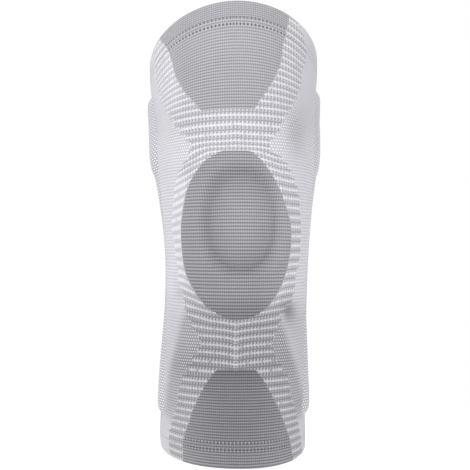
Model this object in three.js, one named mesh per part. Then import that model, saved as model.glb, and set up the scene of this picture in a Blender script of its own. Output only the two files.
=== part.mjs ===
// Knee sleeve: a seamless knitted tube in the form it takes on a slightly bent leg, with a knitted band at
// each rim, an oval ring pad round the kneecap and a long stay pocket on each side.
// Millimetres, +Z up, the knee faces -Y, +X is the viewer's right. The origin is the middle of the knee.
import * as THREE from "three";

// Length of the tube: from the knee to each rim, measured on the side line
const THIGH_RISE = 119.5;
const CALF_DROP = 144;
// How far the side line runs backwards between the knee and each rim
const THIGH_LEAN = 40;
const CALF_LEAN = 24.5;
// Size of the tube round the knee: half its width, and its depth before and behind the side line
const KNEE_HALF_WIDTH = 48.6;
const KNEE_FRONT = 62;
const KNEE_BACK = 56;

// Knit thicknesses, and the gap that neighbouring pieces keep. The pockets and the pad start further off,
// because flat facets on a rounded face come closer to each other than the face itself does.
const KNIT_WALL = 2.2;
const BAND_WALL = 2.6;
const PIECE_GAP = 0.3;
const SEAT_GAP = 0.45;
const PAD_GAP = 1.25;

// Height of each band, measured down the front
const THIGH_BAND = 13.8;
const CALF_BAND = 13;

// Oval pad round the kneecap: half sizes seen from the front, its middle and thickness, and the same for
// its hole, which sits higher than the pad's own middle
const PAD_HALF_WIDTH = 35.7;
const PAD_HALF_HEIGHT = 56.4;
const PAD_MIDDLE_X = 0.7;
const PAD_MIDDLE_Z = 0;
const PAD_THICKNESS = 5;
const PAD_ROUNDNESS = 2.3;
const HOLE_HALF_WIDTH = 23;
const HOLE_HALF_HEIGHT = 33;
const HOLE_MIDDLE_X = 3.5;
const HOLE_MIDDLE_Z = 9.5;

// How far the knit stands out over the pad and over the kneecap in its hole. The ring's inner slope starts
// and ends at shares of the way to the hole's edge, its outer slope at shares of the way to the pad's edge.
const RING_RISE = 2.8;
const RING_SLOPE_IN = [0.92, 1.2];
const RING_SLOPE_OUT = [0.9, 1.08];
const KNEECAP_RISE = 3.6;
const KNEECAP_HALF_WIDTH = 21;
const KNEECAP_HALF_HEIGHT = 31;
const KNEECAP_MIDDLE_X = 4.4;
const KNEECAP_MIDDLE_Z = 7.5;
const KNEECAP_FULLNESS = 0.8;

// Groove below the pad, where the knit dips between the pad and the shin
const SHIN_GROOVE_DEPTH = 1.2;
const SHIN_GROOVE_HALF_WIDTH = 11;
const SHIN_GROOVE_TOP = -60;
const SHIN_GROOVE_BOTTOM = -92;
const SHIN_GROOVE_FADE = 10.5;

// Stay pockets: full width across the strip and full height above the knit
const POCKET_WIDTH = 23;
const POCKET_RISE = 6;
const POCKET_EDGE = 0.4;

// Fineness of the faceted walls
const COLUMNS = 48;
const FRONT_CROWDING = 0.4;
const KNEE_CROWDING = 0.35;
const OUTER_ROWS = 45;
const INNER_ROWS = 34;

// Sections of the tube from the thigh rim to the calf rim. rise is a share of THIGH_RISE above the knee and
// of CALF_DROP below it, lean of THIGH_LEAN and CALF_LEAN in the same way, width of KNEE_HALF_WIDTH, front
// of KNEE_FRONT, back of KNEE_BACK. shift moves a section sideways as a share of KNEE_HALF_WIDTH. tilt is
// the angle by which its front half stands up, backTilt the angle by which its back half hangs down, and
// roll the angle by which its right side stands above its left, all in degrees. corner is the power of its
// rounded outline, 2 for an ellipse.
const SECTIONS = [
  { rise: 1.0, lean: 1.0, width: 1.206, front: 1.03, back: 1.07,
    shift: -0.022, tilt: 38, backTilt: 33.5, roll: 2.4, corner: 1.93 },
  { rise: 0.869, lean: 0.775, width: 1.186, front: 1.02, back: 1.07,
    shift: -0.019, tilt: 36.5, backTilt: 31, roll: 2.3, corner: 1.96 },
  { rise: 0.767, lean: 0.587, width: 1.152, front: 1.0, back: 1.07,
    shift: -0.014, tilt: 32, backTilt: 27.5, roll: 2.0, corner: 2.02 },
  { rise: 0.673, lean: 0.425, width: 1.126, front: 0.976, back: 1.054,
    shift: -0.004, tilt: 22, backTilt: 22, roll: 1.3, corner: 2.1 },
  { rise: 0.573, lean: 0.275, width: 1.106, front: 0.968, back: 1.036,
    shift: 0.006, tilt: 10.5, backTilt: 16, roll: 0.6, corner: 2.15 },
  { rise: 0.406, lean: 0.125, width: 1.091, front: 0.976, back: 1.036,
    shift: 0.012, tilt: 4.5, backTilt: 10, roll: 0, corner: 2.15 },
  { rise: 0.184, lean: 0.037, width: 1.041, front: 1.0, back: 1.018,
    shift: 0.02, tilt: 2, backTilt: 5, roll: 0, corner: 2.15 },
  { rise: -0.035, lean: 0.0, width: 1.0, front: 1.0, back: 1.0,
    shift: 0.025, tilt: 0.5, backTilt: 1.5, roll: 0, corner: 2.15 },
  { rise: -0.209, lean: 0.061, width: 0.973, front: 0.968, back: 1.009,
    shift: 0.02, tilt: -1, backTilt: -1, roll: 0, corner: 2.15 },
  { rise: -0.403, lean: 0.204, width: 0.965, front: 0.911, back: 1.027,
    shift: 0.004, tilt: -2, backTilt: -2.5, roll: 0, corner: 2.15 },
  { rise: -0.597, lean: 0.388, width: 0.979, front: 0.879, back: 1.036,
    shift: -0.008, tilt: -3, backTilt: -4, roll: 0, corner: 2.15 },
  { rise: -0.771, lean: 0.633, width: 1.006, front: 0.887, back: 1.0,
    shift: -0.025, tilt: -5.5, backTilt: -5.5, roll: -0.5, corner: 2.15 },
  { rise: -0.921, lean: 0.878, width: 1.028, front: 0.903, back: 0.964,
    shift: -0.035, tilt: -9, backTilt: -7, roll: -1.0, corner: 2.18 },
  { rise: -1.0, lean: 1.0, width: 1.024, front: 0.919, back: 0.946,
    shift: -0.031, tilt: -12, backTilt: -8.5, roll: -1.4, corner: 2.22 },
];

// Dents pressed into the knit, seen from the front. across and up place each one as shares of the pad's
// half sizes from the pad's middle, as do its half sizes, and depth is a share of KNIT_WALL.
const DENTS = [
  { across: 1.03, up: -0.93, halfWidth: 0.15, halfHeight: 0.16, depth: 1.0 },
  { across: -1.07, up: -0.7, halfWidth: 0.13, halfHeight: 0.16, depth: 0.5 },
];

// Soft ridges that run from the pad's lower end to the sides of the shin and from its upper end to the
// thigh. Their ends are placed like the dents, width is a share of the pad's half width, rise of KNIT_WALL.
const RIDGES = [
  { fromAcross: -0.83, fromUp: -1.03, toAcross: -1.35, toUp: -2.05, width: 0.16, rise: 0.45 },
  { fromAcross: 0.83, fromUp: -1.03, toAcross: 1.35, toUp: -2.05, width: 0.16, rise: 0.45 },
];

// Stay pockets, a row per section from top to bottom. along is the place on the tube from 0 at the thigh
// rim to 1 at the calf rim, turn the angle from the front in degrees, width a share of POCKET_WIDTH and
// rise of POCKET_RISE.
const LEFT_POCKET = [
  { along: 0.115, turn: 95, width: 0.62, rise: 0.1 },
  { along: 0.143, turn: 95, width: 0.84, rise: 0.62 },
  { along: 0.246, turn: 97, width: 0.9, rise: 0.9 },
  { along: 0.335, turn: 99.5, width: 0.94, rise: 1.1 },
  { along: 0.385, turn: 101.5, width: 0.92, rise: 1.0 },
  { along: 0.42, turn: 103.5, width: 0.88, rise: 0.66 },
  { along: 0.54, turn: 107, width: 0.84, rise: 0.46 },
  { along: 0.66, turn: 103, width: 0.86, rise: 0.44 },
  { along: 0.72, turn: 98, width: 0.9, rise: 0.52 },
  { along: 0.78, turn: 90, width: 0.96, rise: 0.56 },
  { along: 0.836, turn: 83, width: 1.0, rise: 0.5 },
  { along: 0.862, turn: 80, width: 0.94, rise: 0.44 },
  { along: 0.877, turn: 78, width: 0.7, rise: 0.1 },
];
const RIGHT_POCKET = [
  { along: 0.115, turn: 95, width: 0.62, rise: 0.1 },
  { along: 0.141, turn: 95, width: 0.84, rise: 0.62 },
  { along: 0.246, turn: 97, width: 0.9, rise: 0.74 },
  { along: 0.335, turn: 99.5, width: 0.94, rise: 0.9 },
  { along: 0.385, turn: 101.5, width: 0.92, rise: 0.82 },
  { along: 0.42, turn: 103.5, width: 0.88, rise: 0.56 },
  { along: 0.54, turn: 107, width: 0.84, rise: 0.46 },
  { along: 0.66, turn: 103, width: 0.86, rise: 0.42 },
  { along: 0.72, turn: 98, width: 0.9, rise: 0.44 },
  { along: 0.78, turn: 90, width: 0.96, rise: 0.46 },
  { along: 0.836, turn: 84, width: 1.0, rise: 0.56 },
  { along: 0.862, turn: 81, width: 0.94, rise: 0.52 },
  { along: 0.877, turn: 79, width: 0.7, rise: 0.1 },
];

// Cross-section of a pocket from one long edge over the top to the other: the place across the strip as a
// share of its half width, and the height as a share of the rise there
const POCKET_CROWN = [
  { across: -1, height: 0 },
  { across: -0.93, height: 0.55 },
  { across: -0.72, height: 0.86 },
  { across: -0.38, height: 0.98 },
  { across: 0, height: 1 },
  { across: 0.38, height: 0.98 },
  { across: 0.72, height: 0.86 },
  { across: 0.93, height: 0.55 },
  { across: 1, height: 0 },
];
const POCKET_BASE = [0.96, 0.5, 0, -0.5, -0.96];
const POCKET_LOOPS = 26;

// Cross-section of the pad from its hole to its outer edge: reach from 0 at the hole to 1 at the outer
// edge, and depth into the hollow as a share of PAD_THICKNESS
const PAD_INNER_FACE = [
  { reach: 1, depth: 0.3 },
  { reach: 0.86, depth: 0.72 },
  { reach: 0.6, depth: 0.98 },
  { reach: 0.36, depth: 1 },
  { reach: 0.12, depth: 0.8 },
  { reach: 0, depth: 0.45 },
];
const PAD_OUTER_FACE = [0, 0.33, 0.67, 1];
const PAD_AROUND = 44;

// The front's form fades out between these cosines of the angle from the front
const FRONT_FADE = [0.1, 0.4];

const FULL_TURN = 2 * Math.PI;
const toRadians = THREE.MathUtils.degToRad;

// Fineness of the searches on the smooth tube: the stride to a neighbouring point, the strides down the
// front, the halvings of a height and the furthest sideways a point of the front may be
const NORMAL_STRIDE = 0.004;
const FRONT_STRIDES = 400;
const HEIGHT_HALVINGS = 40;
const FRONT_REACH = 0.98;

// Smooth curve through evenly spaced rows of a table, at place 0 to 1
function readTable(rows, place, key) {
  const last = rows.length - 1;
  const at = THREE.MathUtils.clamp(place, 0, 1) * last;
  const i = Math.min(Math.floor(at), last - 1);
  const t = at - i;
  const value = (j) => rows[THREE.MathUtils.clamp(j, 0, last)][key];
  const slope = (j) => {
    const span = Math.min(j + 1, last) - Math.max(j - 1, 0);
    return (value(j + 1) - value(j - 1)) / span;
  };
  const a = 2 * t ** 3 - 3 * t ** 2 + 1;
  const b = t ** 3 - 2 * t ** 2 + t;
  const c = -2 * t ** 3 + 3 * t ** 2;
  const d = t ** 3 - t ** 2;
  return a * value(i) + b * slope(i) + c * value(i + 1) + d * slope(i + 1);
}

// Smooth step from 0 at low to 1 at high
function ease(low, high, x) {
  return THREE.MathUtils.smoothstep(x, low, high);
}

// The size of the tube's section at place 0 (thigh rim) to 1 (calf rim)
function sectionAt(place) {
  const read = (key) => readTable(SECTIONS, place, key);
  const rise = read("rise");
  const above = rise > 0;
  return {
    z: rise * (above ? THIGH_RISE : CALF_DROP),
    y: read("lean") * (above ? THIGH_LEAN : CALF_LEAN),
    x: read("shift") * KNEE_HALF_WIDTH,
    halfWidth: read("width") * KNEE_HALF_WIDTH,
    front: read("front") * KNEE_FRONT,
    back: read("back") * KNEE_BACK,
    tilt: toRadians(read("tilt")),
    backTilt: toRadians(read("backTilt")),
    roll: toRadians(read("roll")),
    power: 2 / read("corner"),
  };
}

// A point of the smooth tube, without pad, dents or ridges. turn is the angle from the front, to the right.
function tubePoint(place, turn) {
  const s = sectionAt(place);
  const sine = Math.sin(turn);
  const cosine = Math.cos(turn);
  const across = s.halfWidth * Math.sign(sine) * Math.abs(sine) ** s.power;
  const depth = (cosine > 0 ? s.front : s.back) * Math.sign(cosine) * Math.abs(cosine) ** s.power;
  const tilt = cosine > 0 ? s.tilt : s.backTilt;
  return new THREE.Vector3(
    s.x + across * Math.cos(s.roll),
    s.y - depth * Math.cos(tilt),
    s.z + depth * Math.sin(tilt) + across * Math.sin(s.roll),
  );
}

// The outward direction there
function tubeNormal(place, turn) {
  const low = Math.max(place - NORMAL_STRIDE, 0);
  const high = Math.min(place + NORMAL_STRIDE, 1);
  const down = tubePoint(high, turn).sub(tubePoint(low, turn));
  const round = tubePoint(place, turn + NORMAL_STRIDE).sub(tubePoint(place, turn - NORMAL_STRIDE));
  return round.cross(down).normalize().negate();
}

// Distance from the middle of an oval as a share of its edge
function ovalReach(x, z, halfWidth, halfHeight, roundness) {
  return (Math.abs(x / halfWidth) ** roundness + Math.abs(z / halfHeight) ** roundness) ** (1 / roundness);
}

// Height of the knit over the pad and the kneecap at a point seen from the front
function kneeRelief(x, z) {
  const padX = x - PAD_MIDDLE_X;
  const padZ = z - PAD_MIDDLE_Z;
  const pad = ovalReach(padX, padZ, PAD_HALF_WIDTH, PAD_HALF_HEIGHT, PAD_ROUNDNESS);
  const holeX = x - HOLE_MIDDLE_X;
  const holeZ = z - HOLE_MIDDLE_Z;
  const hole = ovalReach(holeX, holeZ, HOLE_HALF_WIDTH, HOLE_HALF_HEIGHT, PAD_ROUNDNESS);
  const ring = ease(...RING_SLOPE_IN, hole) * (1 - ease(...RING_SLOPE_OUT, pad));
  const capX = x - KNEECAP_MIDDLE_X;
  const capZ = z - KNEECAP_MIDDLE_Z;
  const cap = ovalReach(capX, capZ, KNEECAP_HALF_WIDTH, KNEECAP_HALF_HEIGHT, 2);
  const dome = cap < 1 ? (1 - cap ** 2) ** KNEECAP_FULLNESS : 0;
  return RING_RISE * ring + KNEECAP_RISE * dome;
}

// Depth of the groove between the pad and the shin
function shinGroove(x, z) {
  const across = Math.exp(-(((x - PAD_MIDDLE_X) / SHIN_GROOVE_HALF_WIDTH) ** 2));
  const top = 1 - ease(SHIN_GROOVE_TOP - SHIN_GROOVE_FADE, SHIN_GROOVE_TOP + SHIN_GROOVE_FADE, z);
  const bottom = ease(SHIN_GROOVE_BOTTOM - SHIN_GROOVE_FADE, SHIN_GROOVE_BOTTOM + SHIN_GROOVE_FADE, z);
  return SHIN_GROOVE_DEPTH * across * top * bottom;
}

// Depth of the dents
function dentDepth(x, z) {
  let depth = 0;
  for (const dent of DENTS) {
    const dx = (x - PAD_MIDDLE_X) / PAD_HALF_WIDTH - dent.across;
    const dz = (z - PAD_MIDDLE_Z) / PAD_HALF_HEIGHT - dent.up;
    const reach = (dx / dent.halfWidth) ** 2 + (dz / dent.halfHeight) ** 2;
    depth += dent.depth * KNIT_WALL * Math.exp(-reach);
  }
  return depth;
}

// Height of the soft ridges
function ridgeHeight(x, z) {
  const px = (x - PAD_MIDDLE_X) / PAD_HALF_WIDTH;
  const pz = (z - PAD_MIDDLE_Z) / PAD_HALF_HEIGHT;
  let height = 0;
  for (const ridge of RIDGES) {
    const run = new THREE.Vector2(ridge.toAcross - ridge.fromAcross, ridge.toUp - ridge.fromUp);
    const offset = new THREE.Vector2(px - ridge.fromAcross, pz - ridge.fromUp);
    const share = THREE.MathUtils.clamp(offset.dot(run) / run.lengthSq(), 0, 1);
    const side = offset.sub(run.multiplyScalar(share)).length();
    height += ridge.rise * KNIT_WALL * Math.exp(-((side / ridge.width) ** 2)) * Math.sin(Math.PI * share);
  }
  return height;
}

// Everything that shapes the front, fading out before the sides
function relief(place, turn) {
  const facing = Math.cos(turn);
  if (facing <= 0) {
    return 0;
  }
  const p = tubePoint(place, turn);
  const fade = ease(...FRONT_FADE, facing);
  return fade * (kneeRelief(p.x, p.z) - shinGroove(p.x, p.z) - dentDepth(p.x, p.z) + ridgeHeight(p.x, p.z));
}

// A point at a height above the outer face of the knit, negative for inside
function knitPoint(place, turn, height) {
  return tubePoint(place, turn).addScaledVector(tubeNormal(place, turn), relief(place, turn) + height);
}

// Angle of each column, crowded towards the front where the knit has more form
function columnTurn(column, count, crowding) {
  const even = (FULL_TURN * column) / count;
  return even - crowding * Math.sin(even);
}

// The place on the tube a given length down the front from a rim
function placeDownFront(length, fromCalfRim) {
  let run = 0;
  let before = tubePoint(fromCalfRim ? 1 : 0, 0);
  for (let i = 1; i <= FRONT_STRIDES; i += 1) {
    const even = i / FRONT_STRIDES;
    const here = tubePoint(fromCalfRim ? 1 - even : even, 0);
    const stride = here.distanceTo(before);
    if (run + stride >= length) {
      const share = (i - 1 + (length - run) / stride) / FRONT_STRIDES;
      return fromCalfRim ? 1 - share : share;
    }
    run += stride;
    before = here;
  }
  return fromCalfRim ? 0 : 1;
}

// The place and angle of the tube's front at a point seen from the front
function frontPlace(x, z) {
  let low = 0;
  let high = 1;
  let turn = 0;
  for (let i = 0; i < HEIGHT_HALVINGS; i += 1) {
    const place = (low + high) / 2;
    const s = sectionAt(place);
    const share = THREE.MathUtils.clamp((x - s.x) / s.halfWidth, -FRONT_REACH, FRONT_REACH);
    turn = Math.sign(share) * Math.asin(Math.abs(share) ** (1 / s.power));
    if (tubePoint(place, turn).z > z) {
      low = place;
    } else {
      high = place;
    }
  }
  return { place: (low + high) / 2, turn };
}

// Geometry from a list of points and triangles
function solidFrom(points, triangles) {
  const geometry = new THREE.BufferGeometry();
  const positions = points.flatMap((p) => [p.x, p.y, p.z]);
  geometry.setAttribute("position", new THREE.Float32BufferAttribute(positions, 3));
  geometry.setIndex(triangles);
  geometry.computeVertexNormals();
  return geometry;
}

// Triangles between two closed loops of the same count
function bandTriangles(first, second, count) {
  const triangles = [];
  for (let i = 0; i < count; i += 1) {
    const next = (i + 1) % count;
    const a = first * count + i;
    const b = first * count + next;
    const c = second * count + i;
    const d = second * count + next;
    triangles.push(a, c, b, b, c, d);
  }
  return triangles;
}

// A closed ring whose loops run round its wall and come back to the first loop
function ringSolid(loops) {
  const count = loops[0].length;
  const triangles = loops.flatMap((_, i) => bandTriangles(i, (i + 1) % loops.length, count));
  return solidFrom(loops.flat(), triangles);
}

// A closed bar of loops with a flat fan at each end
function barSolid(loops) {
  const count = loops[0].length;
  const points = loops.flat();
  const triangles = [];
  for (let i = 0; i < loops.length - 1; i += 1) {
    triangles.push(...bandTriangles(i, i + 1, count));
  }
  const ends = [loops[0], loops[loops.length - 1]];
  ends.forEach((loop, end) => {
    const middle = loop.reduce((sum, p) => sum.add(p), new THREE.Vector3()).divideScalar(count);
    const base = end === 0 ? 0 : (loops.length - 1) * count;
    points.push(middle);
    for (let i = 0; i < count; i += 1) {
      const next = (i + 1) % count;
      const edge = end === 0 ? [base + i, base + next] : [base + next, base + i];
      triangles.push(points.length - 1, ...edge);
    }
  });
  return solidFrom(points, triangles);
}

// One loop round the tube at a height above the knit's outer face
function tubeLoop(place, height) {
  const loop = [];
  for (let column = 0; column < COLUMNS; column += 1) {
    loop.push(knitPoint(place, columnTurn(column, COLUMNS, FRONT_CROWDING), height));
  }
  return loop;
}

// The share of a wall's length at each of its rows, crowded towards the knee by the share given
function rowShare(row, rows, crowding) {
  const even = row / rows;
  return even + (crowding * Math.sin(FULL_TURN * even)) / FULL_TURN;
}

// The wall between two places, its edges eased so that a shallow groove is left at each joint
function wallSolid({ top, bottom, rowsOutside, rowsInside, crowding, wall, topEdge, bottomEdge }) {
  const loops = [];
  const length = bottom - top;
  for (let i = 0; i <= rowsOutside; i += 1) {
    let height = 0;
    if (i === 0) {
      height = -topEdge;
    } else if (i === rowsOutside) {
      height = -bottomEdge;
    }
    loops.push(tubeLoop(top + length * rowShare(i, rowsOutside, crowding), height));
  }
  for (let i = rowsInside; i >= 0; i -= 1) {
    loops.push(tubeLoop(top + length * rowShare(i, rowsInside, crowding), -wall));
  }
  return ringSolid(loops);
}

// Where the bands meet the sleeve. Each side of a joint gives way by a share of the gap, a little over half
// of it because the gap is narrower where the tube's rows lie closest.
const GAP_SHARE_EACH_SIDE = 0.7;
const jointGap = (PIECE_GAP * GAP_SHARE_EACH_SIDE) / (THIGH_RISE + CALF_DROP);
const thighJoint = placeDownFront(THIGH_BAND, false);
const calfJoint = placeDownFront(CALF_BAND, true);
const GROOVE_EASE = 0.35;
const RIM_EASE = 0.7;
const BAND_ROWS_OUTSIDE = 4;
const BAND_ROWS_INSIDE = 3;

// The long knitted tube between the bands
function knitSleeve() {
  return wallSolid({
    top: thighJoint + jointGap,
    bottom: calfJoint - jointGap,
    rowsOutside: OUTER_ROWS,
    rowsInside: INNER_ROWS,
    crowding: KNEE_CROWDING,
    wall: KNIT_WALL,
    topEdge: GROOVE_EASE,
    bottomEdge: GROOVE_EASE,
  });
}

// The band at the thigh rim, a little thicker than the sleeve, with a soft edge
function thighBand() {
  return wallSolid({
    top: 0,
    bottom: thighJoint - jointGap,
    rowsOutside: BAND_ROWS_OUTSIDE,
    rowsInside: BAND_ROWS_INSIDE,
    crowding: 0,
    wall: BAND_WALL,
    topEdge: RIM_EASE,
    bottomEdge: GROOVE_EASE,
  });
}

// The band at the calf rim
function calfBand() {
  return wallSolid({
    top: calfJoint + jointGap,
    bottom: 1,
    rowsOutside: BAND_ROWS_OUTSIDE,
    rowsInside: BAND_ROWS_INSIDE,
    crowding: 0,
    wall: BAND_WALL,
    topEdge: GROOVE_EASE,
    bottomEdge: RIM_EASE,
  });
}

// The oval ring pad, seated on the inner face of the knit round the kneecap
function kneecapPad() {
  const faceHeight = -KNIT_WALL - PAD_GAP;
  const profile = [
    ...PAD_OUTER_FACE.map((reach) => ({ reach, depth: 0 })),
    ...PAD_INNER_FACE,
  ];
  const loops = profile.map(({ reach, depth }) => {
    const loop = [];
    for (let i = 0; i < PAD_AROUND; i += 1) {
      const around = (FULL_TURN * i) / PAD_AROUND;
      const cosine = Math.cos(around);
      const sine = Math.sin(around);
      const power = 2 / PAD_ROUNDNESS;
      const across = Math.sign(cosine) * Math.abs(cosine) ** power;
      const up = Math.sign(sine) * Math.abs(sine) ** power;
      const x = THREE.MathUtils.lerp(
        HOLE_MIDDLE_X + HOLE_HALF_WIDTH * across,
        PAD_MIDDLE_X + PAD_HALF_WIDTH * across,
        reach,
      );
      const z = THREE.MathUtils.lerp(
        HOLE_MIDDLE_Z + HOLE_HALF_HEIGHT * up,
        PAD_MIDDLE_Z + PAD_HALF_HEIGHT * up,
        reach,
      );
      const { place, turn } = frontPlace(x, z);
      loop.push(knitPoint(place, turn, faceHeight - depth * PAD_THICKNESS));
    }
    return loop;
  });
  return ringSolid(loops);
}

// A stay pocket that lies on the knit. side is 1 for the right and -1 for the left.
function sidePocket(rows, side) {
  const loops = [];
  for (let i = 0; i <= POCKET_LOOPS; i += 1) {
    const read = (key) => readTable(rows, i / POCKET_LOOPS, key);
    const along = read("along");
    const turn = toRadians(read("turn"));
    const s = sectionAt(along);
    const radius = (s.halfWidth + (s.front + s.back) / 2) / 2;
    const halfAngle = (read("width") * POCKET_WIDTH) / 2 / radius;
    const rise = read("rise") * POCKET_RISE;
    const onKnit = (across, height) => {
      return knitPoint(along, side * (turn + across * halfAngle), SEAT_GAP + height);
    };
    const crown = POCKET_CROWN.map((c) => onKnit(c.across, POCKET_EDGE + c.height * rise));
    const base = POCKET_BASE.map((across) => onKnit(across, 0));
    const loop = [...crown, ...base];
    loops.push(side > 0 ? loop : loop.reverse());
  }
  return barSolid(loops);
}

// Finishes of the pieces
const knitGrey = new THREE.MeshStandardMaterial({ color: 0xc4c3c9, roughness: 0.9, metalness: 0 });
const bandGrey = new THREE.MeshStandardMaterial({ color: 0xb5b3b8, roughness: 0.9, metalness: 0 });
const pocketGrey = new THREE.MeshStandardMaterial({ color: 0xcac9ce, roughness: 0.9, metalness: 0 });
const padRubber = new THREE.MeshStandardMaterial({ color: 0x8d8e93, roughness: 0.6, metalness: 0 });

// A named piece of the sleeve
function piece(name, geometry, material) {
  const mesh = new THREE.Mesh(geometry, material);
  mesh.name = name;
  return mesh;
}

const kneeSleeve = new THREE.Group();
kneeSleeve.add(piece("knit_sleeve", knitSleeve(), knitGrey));
kneeSleeve.add(piece("thigh_band", thighBand(), bandGrey));
kneeSleeve.add(piece("calf_band", calfBand(), bandGrey));
kneeSleeve.add(piece("kneecap_pad", kneecapPad(), padRubber));
kneeSleeve.add(piece("side_pocket_left", sidePocket(LEFT_POCKET, -1), pocketGrey));
kneeSleeve.add(piece("side_pocket_right", sidePocket(RIGHT_POCKET, 1), pocketGrey));

export default kneeSleeve;
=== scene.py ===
"""Knee sleeve in grey and white elastic knit, worn on a slightly bent leg that isn't shown.

The sleeve is a tube of rings on named sections. Its rows follow the knit's courses, so every rib is real
relief, and the chart of the knit (panels, white lines, open net, eyelets) is laid on it as fields that the
finishes read. Metres, +Z up, the knee faces -Y. Sizes below are in millimetres unless a name says otherwise.
"""

from __future__ import annotations

import logging
import math
from collections.abc import Callable
from dataclasses import dataclass, field, replace
from enum import Enum

import bmesh
import bpy
import numpy as np
from bpy.types import Material, Mesh, Object
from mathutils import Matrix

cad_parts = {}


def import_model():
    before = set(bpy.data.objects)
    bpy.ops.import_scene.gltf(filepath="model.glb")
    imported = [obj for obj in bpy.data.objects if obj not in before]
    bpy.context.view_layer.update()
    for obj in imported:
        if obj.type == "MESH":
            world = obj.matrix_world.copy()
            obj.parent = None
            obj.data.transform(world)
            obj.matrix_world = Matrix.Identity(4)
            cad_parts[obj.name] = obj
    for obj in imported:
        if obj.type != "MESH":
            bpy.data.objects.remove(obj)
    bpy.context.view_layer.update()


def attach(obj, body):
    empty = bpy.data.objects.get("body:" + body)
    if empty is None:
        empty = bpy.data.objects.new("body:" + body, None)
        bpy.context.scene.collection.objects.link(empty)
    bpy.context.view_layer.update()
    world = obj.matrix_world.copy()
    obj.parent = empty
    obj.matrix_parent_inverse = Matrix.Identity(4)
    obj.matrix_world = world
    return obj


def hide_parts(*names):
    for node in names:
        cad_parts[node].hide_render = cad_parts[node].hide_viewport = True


LOG = logging.getLogger("knee_sleeve")
MM = 0.001
FULL_TURN = 2 * math.pi
Array = np.ndarray
Fields = dict[str, Array]
Pair = tuple[float, float]
Table = tuple[tuple[float, ...], ...]


class Side(Enum):
    """The side of the leg as the viewer sees it."""

    LEFT = -1
    RIGHT = 1


class Rim(Enum):
    """The two open ends of the tube."""

    THIGH = "thigh"
    CALF = "calf"


def ease(low: float, high: float, x: Array) -> Array:
    """Smooth step.

    Args:
        low: Where it leaves 0.
        high: Where it reaches 1.
        x: The values to look up.

    Returns:
        The step at each value.
    """
    t = np.clip((x - low) / (high - low), 0.0, 1.0)
    return t * t * (3 - 2 * t)


def bent(x: Array, power: Array | float) -> Array:
    """A power of x's size, with x's sign."""
    return np.sign(x) * np.abs(x) ** power


def spot(x: Array, z: Array, middle: Pair, half: Pair) -> Array:
    """A soft spot that is 1 in its middle and fades out over its half sizes."""
    return np.exp(-(((x - middle[0]) / half[0]) ** 2) - ((z - middle[1]) / half[1]) ** 2)


def inside(x: Array, low: Array | float, high: Array | float) -> Array:
    """Distance to the nearer of two borders, positive between them."""
    return np.minimum(x - low, high - x)


def running(steps: Array) -> Array:
    """Running sum of steps, with a 0 in front."""
    return np.concatenate([[0.0], np.cumsum(steps)])


def path_length(points: Array) -> Array:
    """Length from the first point to each point of a path."""
    return running(np.linalg.norm(np.diff(points, axis=0), axis=-1))


def smooth_rows(table: Array, place: Array) -> Array:
    """Smooth curve through evenly spaced rows of a table.

    Args:
        table: One row per section.
        place: Places from 0 at the first row to 1 at the last.

    Returns:
        The row at each place, in one more axis at the end.
    """
    last = len(table) - 1
    at = np.clip(place, 0.0, 1.0) * last
    i = np.minimum(at.astype(int), last - 1)
    t = (at - i)[..., None]

    def slope(j: Array) -> Array:
        """The slope at row j, one-sided at both ends."""
        high, low = np.minimum(j + 1, last), np.maximum(j - 1, 0)
        return (table[high] - table[low]) / (high - low)[..., None]

    start = (2 * t**3 - 3 * t**2 + 1) * table[i] + (t**3 - 2 * t**2 + t) * slope(i)
    return start + (-2 * t**3 + 3 * t**2) * table[i + 1] + (t**3 - t**2) * slope(i + 1)


def along(table: Table, x: Array, column: int = 1) -> Array:
    """Straight lines between the rows of a table whose first column may fall or rise.

    Args:
        table: Rows that start with the value that x is compared with.
        x: The values to look up.
        column: The column to read.

    Returns:
        The column's value at each x.
    """
    rows = np.array(sorted(table))
    return np.interp(x, rows[:, 0], rows[:, column])


def stand(name: str, data: bpy.types.ID) -> Object:
    """Puts a mesh, lamp or camera into the scene.

    Args:
        name: Its name.
        data: The mesh, lamp or camera.

    Returns:
        The object that holds it.
    """
    made = bpy.data.objects.new(name, data)
    bpy.context.collection.objects.link(made)
    return made


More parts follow.
